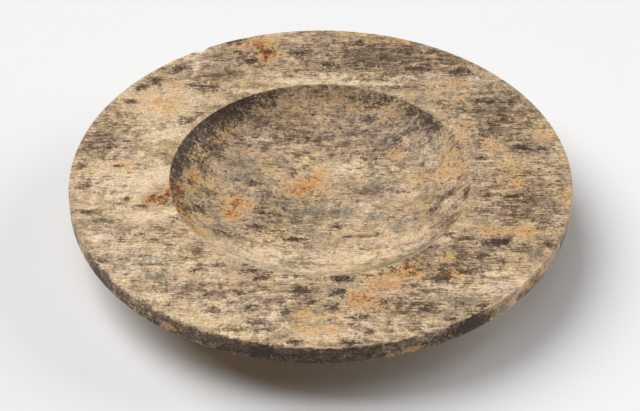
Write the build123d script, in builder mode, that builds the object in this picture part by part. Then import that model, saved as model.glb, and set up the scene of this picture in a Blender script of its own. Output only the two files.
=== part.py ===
# Wide-rimmed wooden bowl, turned on a lathe from one block of spalted hardwood.
# It is one piece of timber: a flat rim, a shallow well with a coved wall, and a low foot ring.
# Origin: centre of the foot ring's flat underside, on the table. +Z is up, X runs along the grain.
from build123d import *
from math import sqrt
import os

# Rim
rim_diameter = 380.0
rim_edge_thickness = 14.0
rim_root_thickness = 16.0  # where the rim's underside meets the body
rim_arris_radius = 1.2  # softened corners of the rim's edge

# Well
well_diameter = 229.0
well_depth = 30.0  # rim's top to the middle of the floor
floor_diameter = 136.0  # where the floor's curve turns up into the wall
floor_dish = 5.0  # how far the floor sinks from there to its middle
lip_radius = 1.8  # rounding where the rim drops into the well

# Body under the well
wall_thickness = 13.0  # square to the wall, at the shoulder
base_thickness = 16.0  # middle of the floor down to the foot's recess
body_curve_radius = 120.0
shoulder_radius = 14.0  # hollow curve between the rim's underside and the body

# Foot ring, with the recess that the lathe's chuck held
foot_diameter = 144.0  # where the foot ring joins the body
foot_ring_width = 11.0
foot_height = 7.0
foot_taper = 1.5  # how much the ring draws in towards the table
foot_root_radius = 2.0
foot_arris_radius = 0.8
recess_depth = 6.0
recess_undercut = 1.0  # the recess is this much wider at its top than at its mouth

# Heights and radii that follow from the sizes above
floor_z = recess_depth + base_thickness
overall_height = floor_z + well_depth
rim_edge_z = overall_height - rim_edge_thickness
shoulder_z = overall_height - rim_root_thickness
rim_radius = rim_diameter / 2
well_radius = well_diameter / 2
floor_radius = floor_diameter / 2
floor_curve_radius = (floor_radius**2 + floor_dish**2) / (2 * floor_dish)
foot_root_x = foot_diameter / 2
foot_land_x = foot_root_x - foot_taper
recess_mouth_x = foot_land_x - foot_ring_width

# The bowl's half section, revolved about its axis
with BuildPart() as bowl:
    with BuildSketch(Plane.XZ):
        with BuildLine():
            # the well: a dished floor that runs smoothly into the cove of the wall
            floor_curve = RadiusArc(
                (0, floor_z), (floor_radius, floor_z + floor_dish), -floor_curve_radius
            )
            cove = TangentArc(
                floor_curve @ 1, (well_radius, overall_height), tangent=floor_curve % 1
            )

            # the shoulder sits one wall thickness outside the cove
            shoulder_reach = cove.radius + wall_thickness
            shoulder_drop = cove.arc_center.Y - shoulder_z
            shoulder_x = cove.arc_center.X + sqrt(shoulder_reach**2 - shoulder_drop**2)

            # the rim's top, edge and underside
            rim_line = Polyline(
                cove @ 1, (rim_radius, overall_height), (rim_radius, rim_edge_z), (shoulder_x, shoulder_z)
            )

            # the body, then the foot ring and the recess inside it
            body_curve = RadiusArc(rim_line @ 1, (foot_root_x, foot_height), body_curve_radius)
            Polyline(
                body_curve @ 1,
                (foot_land_x, 0),
                (recess_mouth_x, 0),
                (recess_mouth_x + recess_undercut, recess_depth),
                (0, recess_depth),
                floor_curve @ 0,
            )
        make_face()

        # every corner of the section gets its own rounding
        corner_radii = (
            (cove @ 1, lip_radius),
            ((rim_radius, overall_height), rim_arris_radius),
            ((rim_radius, rim_edge_z), rim_arris_radius),
            (rim_line @ 1, shoulder_radius),
            (body_curve @ 1, foot_root_radius),
            ((foot_land_x, 0), foot_arris_radius),
            ((recess_mouth_x, 0), foot_arris_radius),
        )
        for corner, radius in corner_radii:
            fillet(vertices().sort_by_distance(corner)[0], radius)
    revolve(axis=Axis.Z)
bowl.part.label = "bowl"

os.makedirs("parts", exist_ok=True)
export_step(bowl.part, "parts/bowl.step")
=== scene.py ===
# Wide-rimmed bowl turned from one block of spalted hardwood, on a pale studio table.
import bpy
import numpy as np
from math import atan2, cos, hypot, pi, radians, sin, sqrt, tan
from mathutils import Matrix, Vector


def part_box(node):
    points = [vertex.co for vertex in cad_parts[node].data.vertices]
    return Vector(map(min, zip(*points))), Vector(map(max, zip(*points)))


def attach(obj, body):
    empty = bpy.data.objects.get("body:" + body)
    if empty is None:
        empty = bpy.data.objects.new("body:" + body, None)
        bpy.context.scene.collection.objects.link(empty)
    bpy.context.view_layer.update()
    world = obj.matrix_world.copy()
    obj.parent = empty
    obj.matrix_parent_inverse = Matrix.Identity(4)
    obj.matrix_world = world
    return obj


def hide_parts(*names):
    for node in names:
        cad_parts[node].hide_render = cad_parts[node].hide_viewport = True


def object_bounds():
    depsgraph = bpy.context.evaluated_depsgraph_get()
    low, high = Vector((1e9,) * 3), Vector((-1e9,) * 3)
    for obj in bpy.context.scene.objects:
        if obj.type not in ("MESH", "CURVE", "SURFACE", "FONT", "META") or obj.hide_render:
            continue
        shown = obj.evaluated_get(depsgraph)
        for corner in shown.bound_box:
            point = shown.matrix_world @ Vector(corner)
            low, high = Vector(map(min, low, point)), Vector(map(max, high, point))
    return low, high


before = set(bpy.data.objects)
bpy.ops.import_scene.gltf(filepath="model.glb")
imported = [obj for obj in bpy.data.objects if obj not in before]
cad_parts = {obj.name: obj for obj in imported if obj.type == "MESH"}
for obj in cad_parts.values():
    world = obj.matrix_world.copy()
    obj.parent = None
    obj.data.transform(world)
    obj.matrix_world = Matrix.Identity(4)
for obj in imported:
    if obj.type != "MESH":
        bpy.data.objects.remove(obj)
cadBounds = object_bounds()
mm = 0.001

# the turned form, in millimetres; its outside size comes from the frame
bowlForm = {
    "rimEdge": 14.0,          # thickness at the rim's edge
    "rimRoot": 16.0,          # thickness where the rim meets the body
    "wellAcross": 229.0,
    "wellDeep": 30.0,
    "floorAcross": 136.0,     # where the floor turns up into the wall
    "floorDish": 5.0,
    "wallThick": 13.0,
    "bodyCurve": 120.0,
    "footAcross": 144.0,
    "footRing": 11.0,
    "footHigh": 7.0,
    "footTaper": 1.5,
    "recessDeep": 6.0,
    "recessUndercut": 1.0,
    "lipRound": 1.8,
    "arrisRound": 1.2,
    "shoulderRound": 14.0,
    "rootRound": 2.0,
    "footArris": 0.8,
    "stepsRound": 432,        # divisions around the axis
    "stepAbove": 1.8,         # ring spacing on the face that shows
    "stepBelow": 4.5,
}


def arcPoints(start, end, radius, bulge, count):
    # points on an arc from start to end; bulge +1 or -1 picks the side it swells to
    sx, sz = start
    ex, ez = end
    half = hypot(ex - sx, ez - sz) / 2
    reach = sqrt(radius**2 - half**2)
    ux, uz = (ex - sx) / (2 * half), (ez - sz) / (2 * half)
    cx = (sx + ex) / 2 + bulge * reach * uz
    cz = (sz + ez) / 2 - bulge * reach * ux
    a0, a1 = atan2(sz - cz, sx - cx), atan2(ez - cz, ex - cx)
    turn = (a1 - a0 + pi) % (2 * pi) - pi
    steps = [a0 + turn * i / count for i in range(count + 1)]
    return (cx, cz), [(cx + radius * cos(a), cz + radius * sin(a)) for a in steps]


def roundCorner(line, corner, radius, steps):
    # replaces one corner of the outline by a curve that starts and ends on its two sides
    i = min(range(len(line)), key=lambda k: hypot(line[k][0] - corner[0], line[k][1] - corner[1]))
    before, after = line[: i + 1][::-1], line[i:]
    turnIn = atan2(before[0][1] - before[1][1], before[0][0] - before[1][0])
    turnOut = atan2(after[1][1] - after[0][1], after[1][0] - after[0][0])
    turn = abs((turnOut - turnIn + pi) % (2 * pi) - pi)
    reach = radius * tan(turn / 2)

    def walk(side):
        left = reach
        for k in range(1, len(side)):
            step = hypot(side[k][0] - side[k - 1][0], side[k][1] - side[k - 1][1])
            if step > left:
                t = left / step
                return k, tuple(side[k - 1][n] * (1 - t) + side[k][n] * t for n in (0, 1))
            left -= step
        return len(side), side[-1]

    kb, pb = walk(before)
    ka, pa = walk(after)
    c = line[i]
    curve = []
    for s in range(steps + 1):
        t = s / steps
        w = (1 - t) ** 2, 2 * t * (1 - t), t * t
        curve.append(tuple(w[0] * pb[n] + w[1] * c[n] + w[2] * pa[n] for n in (0, 1)))
    return before[kb:][::-1] + curve + after[ka:]


def splitLong(line, longest):
    # adds points so that no stretch of the outline is longer than longest
    out = [line[0]]
    for a, b in zip(line, line[1:]):
        parts = max(1, int(hypot(b[0] - a[0], b[1] - a[1]) / longest + 0.5))
        out += [tuple(a[n] + (b[n] - a[n]) * p / parts for n in (0, 1)) for p in range(1, parts + 1)]
    return out


def bowlOutline(form, rimRadius, height):
    # the half section: first the line that shows from above, then the rest, back to the axis
    floorZ = height - form["wellDeep"]
    floorR, wellR = form["floorAcross"] / 2, form["wellAcross"] / 2
    dish = form["floorDish"]
    floorCurve = (floorR**2 + dish**2) / (2 * dish)
    foot = form["footAcross"] / 2
    land = foot - form["footTaper"]
    mouth = land - form["footRing"]
    rimLow = height - form["rimEdge"]
    shoulderZ = height - form["rimRoot"]

    _, floor = arcPoints((0, floorZ), (floorR, floorZ + dish), floorCurve, -1, 40)
    rise = 2 * atan2(dish, floorR)                       # slope where floor meets wall
    chord = hypot(wellR - floorR, form["wellDeep"] - dish)
    chordSlope = atan2(form["wellDeep"] - dish, wellR - floorR)
    coveRadius = chord / (2 * sin(chordSlope - rise))
    coveCentre, cove = arcPoints((floorR, floorZ + dish), (wellR, height), coveRadius, -1, 30)
    reach = coveRadius + form["wallThick"]
    shoulderX = coveCentre[0] + sqrt(reach**2 - (coveCentre[1] - shoulderZ) ** 2)
    _, body = arcPoints((shoulderX, shoulderZ), (foot, form["footHigh"]), form["bodyCurve"], 1, 24)

    above = floor + cove[1:] + [(rimRadius, height), (rimRadius, rimLow)]
    below = [(rimRadius, rimLow)] + body + [(land, 0), (mouth, 0)]
    below += [(mouth + form["recessUndercut"], form["recessDeep"]), (0, form["recessDeep"])]
    line = splitLong(above, form["stepAbove"]) + splitLong(below, form["stepBelow"])[1:]
    corners = (
        ((wellR, height), form["lipRound"], 5),
        ((rimRadius, height), form["arrisRound"], 4),
        ((rimRadius, rimLow), form["arrisRound"], 4),
        ((shoulderX, shoulderZ), form["shoulderRound"], 6),
        ((foot, form["footHigh"]), form["rootRound"], 4),
        ((land, 0), form["footArris"], 3),
        ((mouth, 0), form["footArris"], 3),
    )
    for corner, radius, steps in corners:
        line = roundCorner(line, corner, radius, steps)
    return line


lowCorner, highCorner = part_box("bowl")
rimRadius = (highCorner[0] - lowCorner[0]) / 2 / mm
rimTop = highCorner[2] / mm
outline = bowlOutline(bowlForm, rimRadius, rimTop)


def turnBowl(form, outline):
    # draws the half section point by point, then spins it round the axis
    bpy.ops.object.select_all(action="DESELECT")
    bpy.ops.mesh.primitive_circle_add(vertices=3, radius=mm, location=(0, 0, 0))
    bowl = bpy.context.object
    bowl.name = "turnedBowl"
    bpy.ops.object.mode_set(mode="EDIT")
    bpy.ops.mesh.merge(type="CENTER")
    bpy.ops.transform.translate(value=(outline[0][0] * mm, 0, outline[0][1] * mm))
    for a, b in zip(outline, outline[1:]):
        move = ((b[0] - a[0]) * mm, 0, (b[1] - a[1]) * mm)
        bpy.ops.mesh.extrude_vertices_move(TRANSFORM_OT_translate={"value": move})
    bpy.ops.mesh.select_all(action="SELECT")
    bpy.ops.mesh.spin(steps=form["stepsRound"], angle=2 * pi, center=(0, 0, 0), axis=(0, 0, 1))
    bpy.ops.mesh.select_all(action="SELECT")
    bpy.ops.mesh.remove_doubles(threshold=0.00001)
    bpy.ops.mesh.normals_make_consistent(inside=False)
    bpy.ops.object.mode_set(mode="OBJECT")
    bpy.ops.object.shade_smooth_by_angle(angle=radians(35))
    return bowl


# a bruise on the rim's upper arris: where it is in degrees, the rest in millimetres
chip = {"azimuth": 121, "across": 8.0, "inwards": 1.5, "down": 1.4}


def chipRim(bowl, chip):
    # draws the points round the bruise inwards and down, most at its middle
    a = radians(chip["azimuth"])
    outwards = Vector((cos(a), sin(a), 0))
    corner = (outwards * rimRadius + Vector((0, 0, rimTop))) * mm
    nearest = min(bowl.data.vertices, key=lambda v: (v.co - corner).length).index
    bpy.ops.object.mode_set(mode="EDIT")
    bpy.ops.mesh.select_mode(type="VERT")
    bpy.ops.mesh.select_all(action="DESELECT")
    bpy.ops.object.mode_set(mode="OBJECT")
    bowl.data.vertices[nearest].select = True
    bpy.ops.object.mode_set(mode="EDIT")
    shift = outwards * -chip["inwards"] - Vector((0, 0, chip["down"]))
    around = {"use_proportional_edit": True, "proportional_edit_falloff": "SPHERE"}
    bpy.ops.transform.translate(value=shift * mm, proportional_size=chip["across"] / 2 * mm, **around)
    bpy.ops.mesh.select_all(action="SELECT")
    bpy.ops.mesh.normals_make_consistent(inside=False)
    bpy.ops.object.mode_set(mode="OBJECT")


bowl = turnBowl(bowlForm, outline)
chipRim(bowl, chip)
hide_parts("bowl")
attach(bowl, "root")
print("bowl turned:", len(bowl.data.polygons), "faces")

# where the fungus has stained this block, and where broad washes paint in sheen and shade, in millimetres
# on the face that shows:
# (x, y, half length along the grain, half width, how far it has gone from 0 to 1)
stains = {
    "pale": [   # clean wood, beginning with the broad washes, which lighten the left and front of the face: partly its own tone, partly painted sheen
        (-150, -5, 46, 60, 0.55), (-125, 85, 50, 45, 0.5), (-125, -95, 52, 42, 0.4),
        (-70, -155, 70, 28, 0.4), (40, -165, 60, 24, 0.3), (-30, -70, 70, 26, 0.4),
        (110, -125, 50, 26, 0.3), (-50, 178, 50, 14, 0.2), (-127, 86, 30, 28, 0.9), (-120, 50, 34, 16, 0.6),
        (-150, 22, 30, 18, 0.4), (-105, 152, 14, 8, 0.6), (-101, 140, 4, 22, 0.8), (-98, 160, 5, 5, 1.5),
        (-22, 119, 32, 6, 1.1), (12, 124, 26, 8, 1.1), (26, 116, 26, 5, 1.1), (54, 114, 20, 7, 0.7),
        (-36, 128, 16, 4, 0.7), (-60, 106, 26, 5, 0.4), (75, 124, 22, 6, 0.7), (46, 122, 20, 5, 0.4),
        (62, 155, 16, 5, 0.3), (-18, 175, 20, 8, 0.3), (-80, 149, 8, 4, 0.3), (-45, 70, 18, 3, 0.9),
        (-62, 60, 20, 5, 0.3), (24, 42, 24, 14, 0.6), (48, 34, 20, 10, 0.4), (86, 48, 12, 9, 0.4),
        (-140, -8, 24, 13, 1.0), (-122, 2, 15, 20, 0.9), (-130, -49, 28, 9, 0.8), (-110, -44, 13, 10, 0.7),
        (-165, -14, 16, 26, 0.3), (-162, -72, 16, 11, 0.5), (-140, -112, 24, 16, 0.4),
        (-120, -138, 30, 9, 0.5), (-60, -175, 34, 7, 0.7), (-45, -62, 42, 14, 0.6), (-62, -84, 30, 12, 0.6),
        (-15, -88, 34, 14, 0.5), (-32, -155, 16, 7, 0.7), (-22, -117, 18, 5, 0.8), (0, -157, 20, 10, 0.3),
        (-85, -120, 40, 8, 0.3), (127, -113, 17, 15, 1.0), (116, -130, 24, 11, 0.7),
        (142, -122, 14, 11, 0.6), (92, -128, 18, 8, 0.4), (30, -68, 38, 15, 0.6), (50, -48, 30, 8, 0.4),
        (72, -62, 20, 11, 0.4), (101, -22, 9, 13, 0.5), (36, -8, 14, 13, 0.4), (70, -166, 24, 7, 0.5),
        (20, -176, 24, 6, 0.4), (140, 112, 9, 8, 0.3), (115, 48, 9, 10, 0.4), (175, -55, 9, 12, 0.3),
        (45, -120, 16, 6, 0.4), (180, 18, 9, 16, 0.2),
    ],
    "moss": [   # cool grey-green bloom
        (130, 85, 50, 55, 0.35), (-30, -10, 80, 50, 0.42), (60, 150, 70, 34, 0.3), (-62, 46, 20, 13, 0.7),
        (-62, 28, 22, 9, 0.7), (-28, 14, 22, 9, 0.6), (-76, 150, 16, 7, 0.5), (-17, 158, 14, 12, 0.9),
        (-112, 131, 20, 11, 0.5), (-160, 44, 12, 6, 0.6), (30, 173, 12, 5, 0.9), (-10, -8, 22, 11, 0.9),
        (14, -9, 18, 12, 0.9), (-34, -14, 20, 8, 0.5), (38, -18, 22, 12, 0.4), (-160, -54, 14, 6, 0.6),
        (-115, -115, 14, 6, 0.7), (-125, -95, 26, 10, 0.3), (12, -133, 10, 8, 1.0), (93, -142, 24, 11, 0.5),
        (135, -52, 8, 5, 0.6), (155, -90, 12, 9, 0.6), (60, -32, 24, 12, 0.3), (88, 50, 10, 8, 0.5),
        (168, 27, 20, 8, 0.6), (60, 158, 20, 6, 0.4), (120, 128, 18, 10, 0.3), (45, 17, 30, 12, 0.4),
        (-20, -74, 14, 10, 0.6), (-52, -146, 10, 7, 0.5), (183, -8, 7, 12, 0.4),
    ],
    "dusk": [   # mauve and brown, the wood darkened but sound; the broad washes first, which darken the right and back of the face: partly its own tone, partly painted shade
        (50, 152, 100, 44, 0.6), (140, 70, 46, 60, 0.5), (150, -30, 48, 56, 0.45), (-60, 150, 60, 26, 0.35),
        (-165, 50, 30, 50, 0.3), (-20, 75, 80, 30, 0.35), (60, 60, 50, 40, 0.35), (-110, -105, 60, 36, 0.2),
        (95, -100, 64, 40, 0.5), (-30, -130, 60, 30, 0.3), (60, -150, 60, 26, 0.4), (-40, -10, 70, 50, 0.3),
        (-84, 128, 30, 14, 0.5), (-92, 113, 14, 12, 0.7), (-72, 130, 14, 6, 0.6), (-86, 153, 14, 6, 0.6),
        (-56, 147, 10, 7, 0.9), (-74, 174, 16, 9, 0.7), (-45, 139, 28, 6, 0.5), (-15, 134, 30, 4, 0.5),
        (-118, 133, 20, 9, 0.4), (-132, 120, 9, 7, 0.7), (-143, 112, 5, 7, 0.8), (-150, 92, 8, 8, 0.6),
        (-158, 74, 9, 8, 0.5), (-172, 55, 9, 7, 0.7), (-178, 34, 9, 7, 0.6), (-183, 10, 7, 6, 0.6),
        (-162, 34, 13, 4, 0.6), (-103, 68, 8, 8, 0.6), (-92, 77, 8, 3, 0.7), (-125, 24, 22, 8, 0.3),
        (-150, 12, 20, 8, 0.2), (-12, 158, 12, 8, 0.7), (-12, 187, 8, 3, 0.6), (-155, 62, 18, 8, 0.2),
        (-92, 26, 12, 16, 0.6), (-82, 48, 12, 10, 0.6), (-66, 68, 12, 8, 0.4), (-46, 84, 18, 7, 0.5),
        (-86, 4, 11, 6, 0.8), (-45, 62, 36, 3, 0.5), (-18, 57, 6, 4, 0.9), (-2, 72, 5, 3, 0.8),
        (-20, 68, 34, 5, 0.3), (-52, 22, 26, 9, 0.4), (-25, 44, 24, 9, 0.3), (-26, 12, 12, 5, 0.4),
        (-10, 86, 36, 6, 0.3), (50, 150, 64, 22, 0.4), (8, 143, 18, 10, 0.6), (108, 146, 28, 14, 0.5),
        (112, 132, 18, 10, 0.7), (74, 136, 10, 6, 0.8), (87, 138, 8, 5, 0.7), (34, 135, 34, 6, 0.5),
        (128, 80, 42, 14, 0.5), (124, 77, 20, 7, 0.6), (150, 88, 12, 8, 0.7), (96, 92, 18, 7, 0.5),
        (70, 112, 26, 7, 0.4), (145, 102, 18, 7, 0.4), (150, 56, 28, 8, 0.5), (134, 52, 9, 7, 0.6),
        (155, 30, 18, 10, 0.6), (130, 20, 20, 8, 0.4), (172, 8, 16, 10, 0.3), (22, 170, 26, 8, 0.4),
        (60, 165, 24, 5, 0.4), (10, 108, 18, 5, 0.5), (30, 103, 20, 6, 0.5), (50, 95, 18, 7, 0.6),
        (38, 90, 22, 6, 0.4), (72, 84, 9, 9, 0.6), (81, 76, 7, 9, 0.6), (89, 64, 8, 10, 0.6),
        (97, 50, 6, 10, 0.4), (104, 36, 6, 10, 0.4), (60, 65, 10, 5, 0.8), (71, 71, 11, 6, 0.7),
        (30, 78, 32, 6, 0.4), (20, 68, 34, 5, 0.4), (10, 61, 22, 3, 0.4), (54, 78, 20, 4, 0.5),
        (86, 24, 15, 12, 0.3), (45, 14, 36, 9, 0.3), (72, 57, 11, 6, 0.4), (15, 20, 20, 8, 0.2),
        (-131, -36, 12, 4, 0.7), (-145, -28, 5, 4, 0.7), (-172, -43, 13, 4, 0.7), (-175, -8, 11, 14, 0.4),
        (-162, -20, 12, 10, 0.2), (-160, -53, 14, 5, 0.4), (-128, -70, 34, 10, 0.25),
        (-112, -67, 18, 8, 0.25), (-130, -93, 34, 11, 0.2), (-88, -90, 9, 9, 0.4), (-72, -102, 28, 4, 0.3),
        (-48, -109, 17, 6, 0.5), (-42, -117, 9, 5, 0.55), (-82, -133, 32, 15, 0.3),
        (-112, -126, 22, 7, 0.25), (-75, -150, 9, 6, 0.35), (-57, -133, 7, 6, 0.5), (-52, -148, 9, 7, 0.3),
        (-70, -130, 14, 5, 0.3), (-14, -131, 10, 10, 0.8), (-8, -142, 6, 4, 0.8), (-40, -130, 18, 6, 0.25),
        (-18, -182, 9, 3, 0.6), (-48, -30, 10, 6, 1), (-18, -43, 17, 3, 0.7), (-68, -45, 16, 6, 0.5),
        (-90, -20, 14, 13, 0.6), (-80, -10, 14, 8, 0.4), (-30, -12, 30, 8, 0.4), (-18, -74, 12, 8, 0.3),
        (-101, -28, 6, 12, 0.8), (12, -27, 8, 5, 0.7), (60, -22, 30, 10, 0.3), (97, -6, 14, 8, 0.7),
        (84, -18, 7, 5, 0.7), (110, -18, 4, 12, 0.7), (96, -48, 8, 14, 0.5), (92, -66, 5, 9, 0.9),
        (130, -25, 18, 7, 0.5), (125, -45, 16, 8, 0.4), (105, -75, 14, 5, 0.7), (128, -78, 17, 6, 1),
        (100, -83, 22, 3, 0.6), (148, -86, 12, 6, 0.6), (112, -96, 22, 6, 0.5), (104, -108, 11, 6, 0.7),
        (14, -118, 18, 5, 0.9), (38, -115, 20, 4, 0.4), (68, -133, 11, 9, 0.5), (72, -147, 10, 8, 0.7),
        (96, -147, 12, 6, 0.4), (113, -147, 8, 3, 0.8), (65, -172, 10, 6, 0.4), (55, -147, 9, 6, 0.6),
        (42, -143, 6, 5, 0.6), (25, -158, 24, 5, 0.4), (50, -156, 24, 5, 0.4), (20, -184, 12, 3, 0.6),
        (30, -40, 20, 3, 0.5), (30, -57, 9, 3, 0.5), (165, -80, 12, 8, 0.5), (160, -36, 20, 9, 0.4),
        (80, -95, 12, 5, 0.5), (172, -55, 10, 6, 0.4), (165, -5, 20, 8, 0.2),
    ],
    "honey": [  # amber at the start, rust where it has gone furthest
        (-50, 171, 18, 12, 0.8), (-43, 157, 13, 13, 1.1), (-46, 165, 10, 9, 0.9), (-45, 148, 6, 7, 1.1),
        (-68, 166, 8, 6, 0.4), (-126, 90, 26, 20, 0.4), (-112, 115, 12, 6, 0.3), (-150, 12, 14, 8, 0.25),
        (-98, 12, 6, 16, 0.8), (-107, -12, 7, 18, 0.95), (-105, -35, 6, 15, 0.75), (-97, -52, 6, 10, 0.5),
        (-12, 21, 22, 15, 0.75), (-2, 30, 11, 10, 0.7), (-18, 14, 12, 8, 0.8), (-64, -3, 17, 12, 0.8),
        (-67, -17, 13, 11, 0.8), (-85, 14, 12, 10, 0.3), (-60, 57, 22, 4, 0.3), (24, 185, 11, 4, 0.5),
        (62, 173, 15, 6, 0.6), (45, 174, 12, 4, 0.4), (112, 113, 14, 7, 0.45), (92, 106, 13, 4, 0.3),
        (112, 96, 9, 5, 0.3), (113, 62, 10, 6, 0.55), (110, 46, 13, 10, 0.2), (132, 41, 9, 7, 0.4),
        (173, 47, 13, 10, 0.35), (135, 30, 9, 7, 0.5), (150, 8, 15, 9, 0.3), (56, 86, 12, 6, 0.4),
        (58, 52, 18, 10, 0.35), (95, 20, 11, 17, 0.5), (78, 23, 9, 9, 0.5), (103, 22, 5, 15, 0.5),
        (3, 33, 6, 11, 0.5), (5, 12, 12, 8, 0.3), (-125, -28, 12, 9, 1.15), (-114, -22, 5, 10, 1.25),
        (-118, -30, 10, 7, 0.8), (-12, -155, 17, 8, 0.45), (-10, -168, 15, 7, 0.35),
        (-45, -155, 11, 4, 0.2), (-12, -18, 13, 5, 0.25), (122, -65, 12, 6, 0.6), (135, -67, 9, 5, 0.6),
        (150, -67, 12, 9, 0.6), (170, -65, 9, 6, 0.3), (90, -94, 11, 8, 0.5), (65, -105, 12, 5, 1.0),
        (60, -113, 20, 9, 0.8), (92, -112, 16, 10, 0.75), (30, -138, 22, 14, 0.65), (46, -123, 22, 10, 0.6),
        (8, -170, 8, 6, 0.4), (4, -156, 16, 8, 0.2), (146, -12, 18, 12, 0.28), (187, -24, 7, 6, 0.7),
        (183, -35, 9, 9, 0.25), (75, -14, 9, 8, 0.3), (128, -108, 14, 10, 0.12), (-85, -30, 10, 8, 0.15),
        (70, -10, 14, 8, 0.2),
    ],
    "ink": [    # black spots and short streaks
        (-121, -26, 8, 5, 0.3), (-116, -32, 5, 4, 0.35), (-46, 160, 9, 9, 0.2), (62, -108, 12, 5, 0.15),
        (-97, 50, 6.5, 8, 0.5), (-108, 16, 3.5, 9, 0.7), (-100, 8, 3.5, 4.5, 0.65), (-68, 84, 8, 6.5, 0.45),
        (-86, 62, 7, 6.5, 0.45), (-48, 98, 11, 4.5, 0.35), (-104, 34, 4.5, 7, 0.4),
        (-112, -6, 2.5, 7, 0.45), (-160, 34, 11, 3, 0.4), (-154, 11, 5.5, 2, 1.1),
        (-67, 160, 3.5, 2.5, 0.9), (-17, 157, 7, 6.5, 0.35), (-90, 109, 11, 6.5, 0.25),
        (-134, 118, 6.5, 4.5, 0.25), (-143, 109, 3.5, 3.5, 0.4), (-103, 114, 3.5, 3.5, 0.7),
        (-116, 138, 7, 4.5, 0.25), (-55, 146, 7, 4.5, 0.25), (-74, 174, 12.5, 5.5, 0.25),
        (-21, 36, 2.5, 4.5, 0.5), (10, 139, 8, 3.5, 0.7), (74, 136, 7, 4, 0.35), (86, 138, 5.5, 3.5, 0.35),
        (131, 91, 12.5, 3, 0.9), (112, 130, 9, 5.5, 0.2), (33, 173, 7, 3.5, 0.4), (156, 32, 5.5, 4.5, 1.1),
        (170, 30, 9, 3.5, 0.25), (90, 62, 4.5, 4.5, 0.45), (86, 72, 5.5, 5.5, 0.35), (60, 110, 3.5, 2, 0.4),
        (62, 64, 5.5, 3.5, 0.25), (45, 98, 12.5, 3.5, 0.2), (-101, -30, 3.5, 7, 0.6),
        (-32, -33, 5.5, 2.5, 0.45), (-42, -12, 3.5, 2, 0.5), (-20, -42, 12.5, 2, 0.35),
        (-76, -42, 5.5, 2.5, 0.45), (-146, -28, 3.5, 3.5, 0.4), (-176, -43, 9, 2.5, 0.35),
        (-108, -52, 3.5, 3.5, 0.35), (-25, -153, 4.5, 4.5, 1.1), (-45, -163, 7, 2.5, 0.9),
        (-60, -170, 10, 4.5, 0.3), (-35, -169, 10, 3.5, 0.3), (-18, -183, 8, 2.5, 0.2),
        (-14, -131, 6.5, 7, 0.4), (-57, -133, 4.5, 4.5, 0.4), (-50, -148, 4.5, 4.5, 0.25),
        (-42, -116, 5.5, 3, 0.35), (-88, -87, 5.5, 3.5, 0.35), (-76, -150, 4.5, 3.5, 0.25),
        (-158, -98, 3, 2.5, 0.7), (87, -109, 5.5, 4.5, 0.9), (86, -117, 10, 4.5, 1.2),
        (104, -111, 8, 3.5, 1), (127, -80, 11.5, 4.5, 0.7), (74, -148, 5.5, 5.5, 0.7),
        (8, -147, 6.5, 3.5, 0.8), (33, -173, 4.5, 3.5, 0.8), (12, -132, 5.5, 4.5, 0.7),
        (42, -143, 3.5, 3.5, 0.35), (113, -147, 5.5, 2.5, 0.35), (167, -57, 4.5, 2, 0.9),
        (141, -27, 5.5, 2, 0.9), (83, -18, 4.5, 3.5, 0.4), (14, -117, 11, 3, 0.4), (68, -126, 7, 2, 0.4),
        (92, -160, 3.5, 2.5, 0.9), (20, -165, 3.5, 2, 0.8), (26, -157, 5.5, 2.5, 0.25),
        (108, -22, 2.5, 5.5, 0.35), (12, -27, 6.5, 3.5, 0.35), (20, -184, 7, 2.5, 0.25),
        (58, -76, 2.5, 2.5, 0.35), (144, -81, 5.5, 2, 0.4),
    ],
}
# the same on the outer edge, where the dusk also paints in shade: (azimuth, height, half length round the
# rim, half height, how far gone)
edgeStainsAndShade = {
    "pale": [
        (352, 46, 30, 8, 0.3), (183, 46, 18, 8, 0.5),
    ],
    "moss": [
        (262, 45, 130, 16, 0.55), (240, 43, 18, 7, 0.7), (268, 42, 24, 7, 0.7), (312, 43, 14, 6, 0.7),
        (213, 44, 16, 7, 0.5),
    ],
    # the long dusk band round the front and right of the edge is partly the wood's stain, partly painted
    # shade on the face turned from the lamps
    "dusk": [
        (262, 45, 175, 22, 0.95), (214, 44, 34, 14, 1.0), (236, 45, 34, 14, 0.9), (258, 45, 34, 14, 1.1),
        (280, 45, 34, 14, 0.9), (302, 45, 30, 14, 1.1), (322, 43, 26, 10, 0.7), (342, 43, 26, 9, 0.6),
        (198, 44, 22, 10, 0.7),
    ],
    "honey": [
        (236, 44, 12, 6, 0.35), (290, 42, 14, 4, 0.4), (320, 46, 22, 5, 0.35), (186, 45, 24, 8, 0.25),
    ],
    "ink": [
        (258, 46, 12, 9, 0.9), (250, 42, 10, 5, 0.5), (304, 46, 16, 9, 1.1), (296, 44, 10, 6, 0.6),
        (222, 45, 14, 6, 0.7), (211, 43, 10, 6, 0.7), (340, 44, 12, 5, 0.6), (272, 40, 16, 4, 0.5),
        (230, 41, 10, 4, 0.5),
    ],
}
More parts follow.
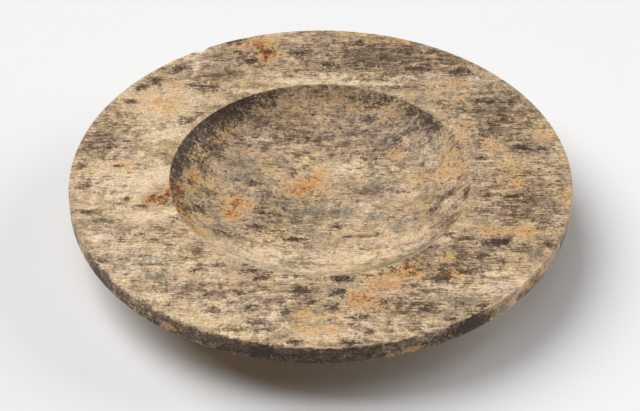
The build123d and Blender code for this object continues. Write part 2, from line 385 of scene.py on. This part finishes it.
# the same on the well's wall, where the dusk and black also paint in shade: (azimuth, radius, half length
# round it, half width, how far gone)
wallStainsAndShade = {
    "pale": [
        (255, 104, 60, 10, 0.7), (225, 104, 40, 9, 0.4),
    ],
    "moss": [
        (300, 105, 75, 12, 0.9), (255, 100, 60, 14, 0.55),
    ],
    # dusk heaviest round the back-left and back of the wall, which faces away from the key lamp: partly the
    # wood's stain, partly painted shade
    "dusk": [
        (135, 112, 75, 17, 0.85), (163, 112, 40, 14, 0.85), (112, 111, 36, 10, 0.6),
        (180, 112, 30, 10, 0.9), (88, 111, 40, 8, 0.3), (58, 111, 36, 8, 0.45), (38, 110, 26, 8, 0.25),
        (20, 108, 30, 8, 0.1), (335, 106, 50, 12, 0.35), (5, 106, 26, 12, 0.35),
    ],
    "honey": [
        (186, 109, 18, 12, 0.65), (199, 108, 20, 11, 0.55), (211, 107, 14, 9, 0.45), (172, 100, 14, 6, 0.5),
        (12, 106, 30, 12, 0.4), (140, 101, 34, 7, 0.35), (118, 105, 16, 7, 0.35), (160, 104, 14, 6, 0.3),
        (80, 106, 50, 10, 0.2),
    ],
    # the long black bands on the back-left wall: partly black spots, partly painted shade
    "ink": [
        (196, 110, 24, 7, 0.25), (140, 112, 50, 10, 0.35), (157, 111, 22, 8, 0.4), (122, 112, 22, 7, 0.3),
        (172, 112, 16, 6, 0.5), (150, 101, 20, 8, 0.2), (42, 110, 16, 6, 0.2), (190, 112, 16, 4, 0.4),
    ],
}
stainBase = {   # how near each stain is to showing where none was laid: above, and elsewhere
    "pale": (-0.15, -0.20),
    "moss": (-0.25, -0.20),
    "dusk": (-0.08, 0.1),
    "honey": (-0.6, -0.35),
    "ink": (-1.3, -1.0),
}
# how the stains are laid, in millimetres and shares
stainLaying = {
    "deep": 12.0,        # how far a stain goes down from the face
    "faceDeep": 1.0,     # wood less deep than this counts as the face
    "edgeDeep": 3.0,     # how far a stain on the rim's edge goes in
    "lipInset": 0.3,     # stains part this far inside the well's corner
    "beyond": 0.6,       # how fast a stain fades outside its own outline
    "heldOff": 0.9,      # how well clean wood holds the other stains off
}


def layStainsAndShade(bowl, laying):
    # each stain, and the painted shade and sheen laid with them, becomes a number at every point: above 0
    # is stained, 1 is its heart
    count = len(bowl.data.vertices)
    points = np.empty(count * 3)
    bowl.data.vertices.foreach_get("co", points)
    x, y, z = (points.reshape(-1, 3) / mm).T
    radius = np.hypot(x, y)
    azimuth = np.degrees(np.arctan2(y, x))
    rimCorner = outline.index(max(outline, key=sum))
    showing = outline[: rimCorner + 1]
    depth = np.interp(radius, [p[0] for p in showing], [p[1] for p in showing]) - z
    down = depth / laying["deep"]
    inwards = (rimRadius - radius) / laying["edgeDeep"]
    lip = bowlForm["wellAcross"] / 2 - laying["lipInset"]

    def distance(*shares):
        return np.sqrt(sum(share**2 for share in shares))

    def fade(far, gone):
        return np.where(far < 1, gone, laying["beyond"]) * (1 - far)

    def roundFrom(turn, reach):
        # millimetres round the bowl from an azimuth
        return radians(1) * reach * ((azimuth - turn + 180) % 360 - 180)

    clean = 0
    for stain, (above, elsewhere) in stainBase.items():
        level = np.where(depth < laying["faceDeep"], above, elsewhere) - laying["heldOff"] * clean
        for sx, sy, along, across, gone in stains[stain]:
            spot = fade(distance((x - sx) / along, (y - sy) / across, down), gone)
            sameSide = (radius < lip) == (hypot(sx, sy) < lip)    # no stain runs over the well's lip
            level = np.where(sameSide, np.maximum(level, spot), level)
        for turn, height, along, across, gone in edgeStainsAndShade.get(stain, []):
            far = distance(roundFrom(turn, rimRadius) / along, (z - height) / across, inwards)
            level = np.maximum(level, fade(far, gone))
        # the wall's stains stop at the lip, so the painted shade on the wall ends sharp there
        for turn, reach, along, across, gone in wallStainsAndShade.get(stain, []):
            far = distance(roundFrom(turn, reach) / along, (radius - reach) / across, down)
            level = np.where(radius < lip, np.maximum(level, fade(far, gone)), level)
        if stain == "pale":
            clean = np.clip(level, 0, 1)
        layer = bowl.data.attributes.new(stain, "FLOAT", "POINT")
        layer.data.foreach_set("value", level.astype(np.float32))


layStainsAndShade(bowl, stainLaying)
print("stains laid:", sum(len(dabs) for dabs in stains.values()))


def hexLinear(code):
    out = []
    for k in (0, 2, 4):
        c = int(code[k : k + 2], 16) / 255
        out.append(c / 12.92 if c <= 0.04045 else ((c + 0.055) / 1.055) ** 2.4)
    return (*out, 1)


def addNode(tree, kind, inputs, out=0, stops=None, **settings):
    # adds a node; an input is a plain value or another node's output, stops are a ramp's colours
    node = tree.nodes.new(kind)
    for name, value in settings.items():
        setattr(node, name, value)
    for socket, value in inputs.items():
        if isinstance(value, bpy.types.NodeSocket):
            tree.links.new(value, node.inputs[socket])
        else:
            node.inputs[socket].default_value = value
    if stops:
        ramp = node.color_ramp.elements
        while len(ramp) < len(stops):
            ramp.new(0.5)
        for element, (place, code) in zip(ramp, stops):
            element.position = place
            element.color = hexLinear(code)
    return node.outputs[out]


noiseMiddle = (0.5, 0.5, 0.5)    # a noise texture strays evenly about this

woodLook = {
    # pattern: length along the grain and width across it in millimetres, detail, roughness
    "patterns": {
        "fibre": (12, 1.1, 3, 0.6),       # fibre bundles, drawn about twice as coarse as they are
        "streak": (45, 4.0, 4, 0.65),     # growth rings met at a low angle
        "mottle": (2.8, 2.5, 4, 0.75),     # the fungus' fine blotches
        "patch": (9, 9, 5, 0.7),          # its middling ones
        "cloud": (30, 28, 4, 0.6),        # its broad ones
        "ragged": (6.5, 6, 6, 0.75),       # frays the stains' edges
        "speck": (2.8, 1.9, 2, 0.6),      # dark pores and decay pockets
        "grit": (1.9, 1.4, 2, 0.6),       # cut vessel ends, drawn coarser than they are
    },
    "wander": (70, 3.0),                  # how far apart and how far the grain strays
    "baseMix": {"fibre": 0.6, "streak": 0.45, "mottle": 0.7, "patch": 1.1, "cloud": 0.9},
    "base": [(0.1, "6E543F"), (0.32, "A4896C"), (0.5, "C3A885"), (0.68, "D9BC95"), (0.9, "ECD2AA")],
    "stains": {
        # colours from the stain's fringe to its heart; what frays it; how soft, how strong
        "pale": {"stops": [(0.0, "DBBF9C"), (0.4, "E4CAA7"), (1.0, "EDD6B3")],
                 "fray": {"ragged": 1.6, "patch": 1.2, "fibre": 1.0, "mottle": 0.9}, "soft": 0.5,
                 "strength": 0.95},
        "moss": {"stops": [(0.0, "A39B84"), (0.5, "86836F"), (1.0, "626457")],
                 "fray": {"ragged": 2.4, "patch": 1.2, "mottle": 2.2}, "soft": 0.7, "strength": 0.75},
        # dusk's darker colours also stand for painted shade on the well's back-left wall and the rim's
        # front edge
        "dusk": {"stops": [(0.0, "A88E76"), (0.25, "8A735E"), (0.55, "695341"), (1.0, "48321F")],
                 "fray": {"ragged": 2.0, "patch": 1.2, "streak": 0.8, "fibre": 1.4, "mottle": 1.2},
                 "soft": 0.5, "strength": 0.9},
        "honey": {"stops": [(0.0, "D8B98B"), (0.45, "D0A36D"), (0.8, "BE7C44"), (1.0, "8A4527")],
                  "fray": {"ragged": 1.5, "patch": 0.9, "mottle": 1.0}, "soft": 0.35, "strength": 0.9},
    },
    "specks": {"with": {"dusk": 0.8, "pale": -1.0, "honey": 0.5}, "spread": 5.5, "fewer": 0.85, "soft": 0.1,
               "darken": 0.58, "clump": 2.5},
    # the ink's colours also darken the painted shade on the well's back-left wall
    "ink": {"stops": [(0.0, "54402F"), (0.3, "33261D"), (1.0, "3B2D24")],
            "fray": {"ragged": 2.0, "mottle": 4.0}, "soft": 0.3, "strength": 0.8},
    # how much each pattern drifts the red, green and blue
    "hue": {"cloud": (0.15, 0.08, 0.6), "patch": (0.1, 0.08, 0.2), "mottle": (0.1, 0.08, 0.35)},
    "grain": {"fibre": 0.8, "grit": 1.4},    # how much each shades every colour
    "roughness": (0.42, 0.62),               # sound wood, and the decayed patches
    "dulls": (-0.2, 0.2),                    # the mottle over which it goes from one to the other
    "pores": 0.00018,                        # depth of the open pores in metres
    "poreStrength": 0.8,
    "ior": 1.48,                             # drying oil
    "shine": 0.3,
}


def spaltedWood(look):
    # spalted maple, turned, sanded and oiled: straight fine grain under clouded fungal stain,
    # with a satin shine that the open, decayed patches dull
    wood = bpy.data.materials.new("oiled spalted maple")
    wood.use_nodes = True
    tree = wood.node_tree
    shader = tree.nodes["Principled BSDF"]
    place = addNode(tree, "ShaderNodeTexCoord", {}, out=3)

    apart, stray = look["wander"]
    swing = {"Vector": place, "Scale": 1 / (apart * mm), "Detail": 2}
    drift = addNode(tree, "ShaderNodeTexNoise", swing, out=1)
    drift = addNode(tree, "ShaderNodeVectorMath", {0: drift, 1: noiseMiddle}, operation="SUBTRACT")
    drift = addNode(tree, "ShaderNodeVectorMath", {0: drift, "Scale": 2 * stray * mm}, operation="SCALE")
    place = addNode(tree, "ShaderNodeVectorMath", {0: place, 1: drift}, operation="ADD")

    # every pattern as three independent fields, each about zero
    field, drifts = {}, {}
    for name, (along, across, detail, roughness) in look["patterns"].items():
        squeeze = (1 / (along * mm), 1 / (across * mm), 1 / (across * mm))
        spot = addNode(tree, "ShaderNodeVectorMath", {0: place, 1: squeeze}, operation="MULTIPLY")
        noise = {"Vector": spot, "Scale": 1.0, "Detail": detail, "Roughness": roughness}
        noise = addNode(tree, "ShaderNodeTexNoise", noise, out=1)
        noise = addNode(tree, "ShaderNodeVectorMath", {0: noise, 1: noiseMiddle}, operation="SUBTRACT")
        drifts[name] = noise
        field[name] = addNode(tree, "ShaderNodeSeparateXYZ", {0: noise}).node.outputs

    def addShares(start, shares, number):
        # adds each named pattern, in its share, to a level
        for name, share in shares.items():
            terms = {0: field[name][number % 3], 1: share, 2: start}
            start = addNode(tree, "ShaderNodeMath", terms, operation="MULTIPLY_ADD")
        return start

    def coverWith(colour, stain, how, number):
        # mixes a stain over the colour so far, and gives back its level too
        level = addNode(tree, "ShaderNodeAttribute", {}, out=2, attribute_name=stain)
        level = addShares(level, how["fray"], number)
        reach = {0: level, 1: 0.0, 2: how["soft"], 3: 0.0, 4: how["strength"]}
        cover = addNode(tree, "ShaderNodeMapRange", reach, interpolation_type="SMOOTHSTEP")
        tint = addNode(tree, "ShaderNodeValToRGB", {0: level}, stops=how["stops"])
        mix = {0: cover, 6: colour, 7: tint}
        return addNode(tree, "ShaderNodeMix", mix, out=2, data_type="RGBA"), level

    tone = addShares(0.5, look["baseMix"], 0)
    colour = addNode(tree, "ShaderNodeValToRGB", {0: tone}, stops=look["base"])
    level = {}
    # these covers also carry the painted shade and sheen laid among the stains
    for number, (stain, how) in enumerate(look["stains"].items()):
        colour, level[stain] = coverWith(colour, stain, how, number)

    # dark pores and pockets, thickest where the wood has darkened
    specks = look["specks"]
    crowd = -specks["fewer"]
    for stain, share in specks["with"].items():
        part = addNode(tree, "ShaderNodeMath", {0: level[stain], 1: 0.0}, operation="MAXIMUM")
        crowd = addNode(tree, "ShaderNodeMath", {0: part, 1: share, 2: crowd}, operation="MULTIPLY_ADD")
    crowd = addShares(crowd, {"speck": specks["spread"], "patch": specks["clump"]}, 1)
    reach = {0: crowd, 1: 0.0, 2: specks["soft"], 3: 1.0, 4: 1 - specks["darken"]}
    dim = addNode(tree, "ShaderNodeMapRange", reach, interpolation_type="SMOOTHSTEP")
    grain = addShares(1.0, look["grain"], 1)
    dim = addNode(tree, "ShaderNodeMath", {0: dim, 1: grain}, operation="MULTIPLY")
    colour = addNode(tree, "ShaderNodeVectorMath", {0: colour, "Scale": dim}, operation="SCALE")
    hue = (1, 1, 1)
    for name, share in look["hue"].items():
        parts = {0: drifts[name], 1: share, 2: hue}
        hue = addNode(tree, "ShaderNodeVectorMath", parts, operation="MULTIPLY_ADD")
    colour = addNode(tree, "ShaderNodeVectorMath", {0: colour, 1: hue}, operation="MULTIPLY")
    colour, level["ink"] = coverWith(colour, "ink", look["ink"], 1)
    tree.links.new(colour, shader.inputs["Base Color"])

    smooth, dull = look["roughness"]
    sound, decayed = look["dulls"]
    rough = {0: field["mottle"][0], 1: sound, 2: decayed, 3: smooth, 4: dull}
    tree.links.new(addNode(tree, "ShaderNodeMapRange", rough), shader.inputs["Roughness"])
    pores = addShares(dim, {"fibre": 1.0}, 2)
    relief = {"Height": pores, "Distance": look["pores"], "Strength": look["poreStrength"]}
    bump = addNode(tree, "ShaderNodeBump", relief)
    tree.links.new(bump, shader.inputs["Normal"])
    shader.inputs["IOR"].default_value = look["ior"]
    shader.inputs["Specular IOR Level"].default_value = look["shine"]
    return wood


bowl.data.materials.clear()
bowl.data.materials.append(spaltedWood(woodLook))
print("wood finished")

studio = {
    "tableAcross": 16.0,       # metres
    "table": "F2F2F2",
    "tableRoughness": 0.9,
    "airHex": "F2F2F2",
    "airSeen": 1.0,            # what shows past the table's end
    "airLight": 0.0,           # what it sheds on the bowl
    # lamps: azimuth from +X towards +Y, height above the table, strength, how wide it looks
    "lamps": {
        "keySoftBox": (153, 53, 2.75, 50),
        "topSoftBox": (270, 80, 0.45, 40),
        "sideSoftBox": (20, 23, 1.45, 48),
    },
    "lampAway": 2.0,           # metres, only for finding them in the scene
    "lookAt": (-0.4, -36.6),   # millimetres from the rim's centre
    "away": 1.5117,            # metres from the rim's centre
    "elevation": 39.11,        # degrees
    "roll": -0.223,            # degrees
    "focal": 112.3,            # millimetres
    "sensor": 36,              # millimetres
    "nearest": 0.05,           # metres
}

bpy.ops.object.select_all(action="DESELECT")
bpy.ops.mesh.primitive_plane_add(size=studio["tableAcross"], location=(0, 0, 0))
table = bpy.context.object
table.name = "paleTable"
card = bpy.data.materials.new("matt white card")    # takes the shadow and gives no shine
card.use_nodes = True
surface = card.node_tree.nodes["Principled BSDF"].inputs
surface["Base Color"].default_value = hexLinear(studio["table"])
surface["Roughness"].default_value = studio["tableRoughness"]
table.data.materials.append(card)

world = bpy.data.worlds.new("studioAir")
bpy.context.scene.world = world
world.use_nodes = True
air = world.node_tree
air.nodes["Background"].inputs["Color"].default_value = hexLinear(studio["airHex"])
seen = addNode(air, "ShaderNodeLightPath", {})
strength = addNode(air, "ShaderNodeMapRange", {0: seen, 3: studio["airLight"], 4: studio["airSeen"]})
air.links.new(strength, air.nodes["Background"].inputs["Strength"])


def hangLamp(name, azimuth, height, strength, spread):
    # shines as if from far off, so that the table is lit alike out to its ends
    a, h = radians(azimuth), radians(height)
    towards = Vector((cos(h) * cos(a), cos(h) * sin(a), sin(h)))
    bpy.ops.object.light_add(type="SUN", location=towards * studio["lampAway"])
    lamp = bpy.context.object
    lamp.name = name
    lamp.data.energy = strength
    lamp.data.angle = radians(spread)
    lamp.rotation_euler = towards.to_track_quat("Z", "Y").to_euler()


for name, lampPlace in studio["lamps"].items():
    hangLamp(name, *lampPlace)

rimCentre = Vector((0, 0, cadBounds[1][2]))
e = radians(studio["elevation"])
place = rimCentre + studio["away"] * Vector((0, -cos(e), sin(e)))
aim = rimCentre + Vector((*studio["lookAt"], 0)) * mm
bpy.ops.object.camera_add(location=place)
camera = bpy.context.object
turn = (aim - place).to_track_quat("-Z", "Y").to_matrix()
roll = Matrix.Rotation(radians(studio["roll"]), 3, "Z")
camera.rotation_euler = (turn @ roll).to_euler()
camera.data.lens = studio["focal"]
camera.data.sensor_width = studio["sensor"]
camera.data.clip_start = studio["nearest"]
bpy.context.scene.camera = camera
bpy.context.scene.view_settings.view_transform = "Standard"
print("camera and light set")
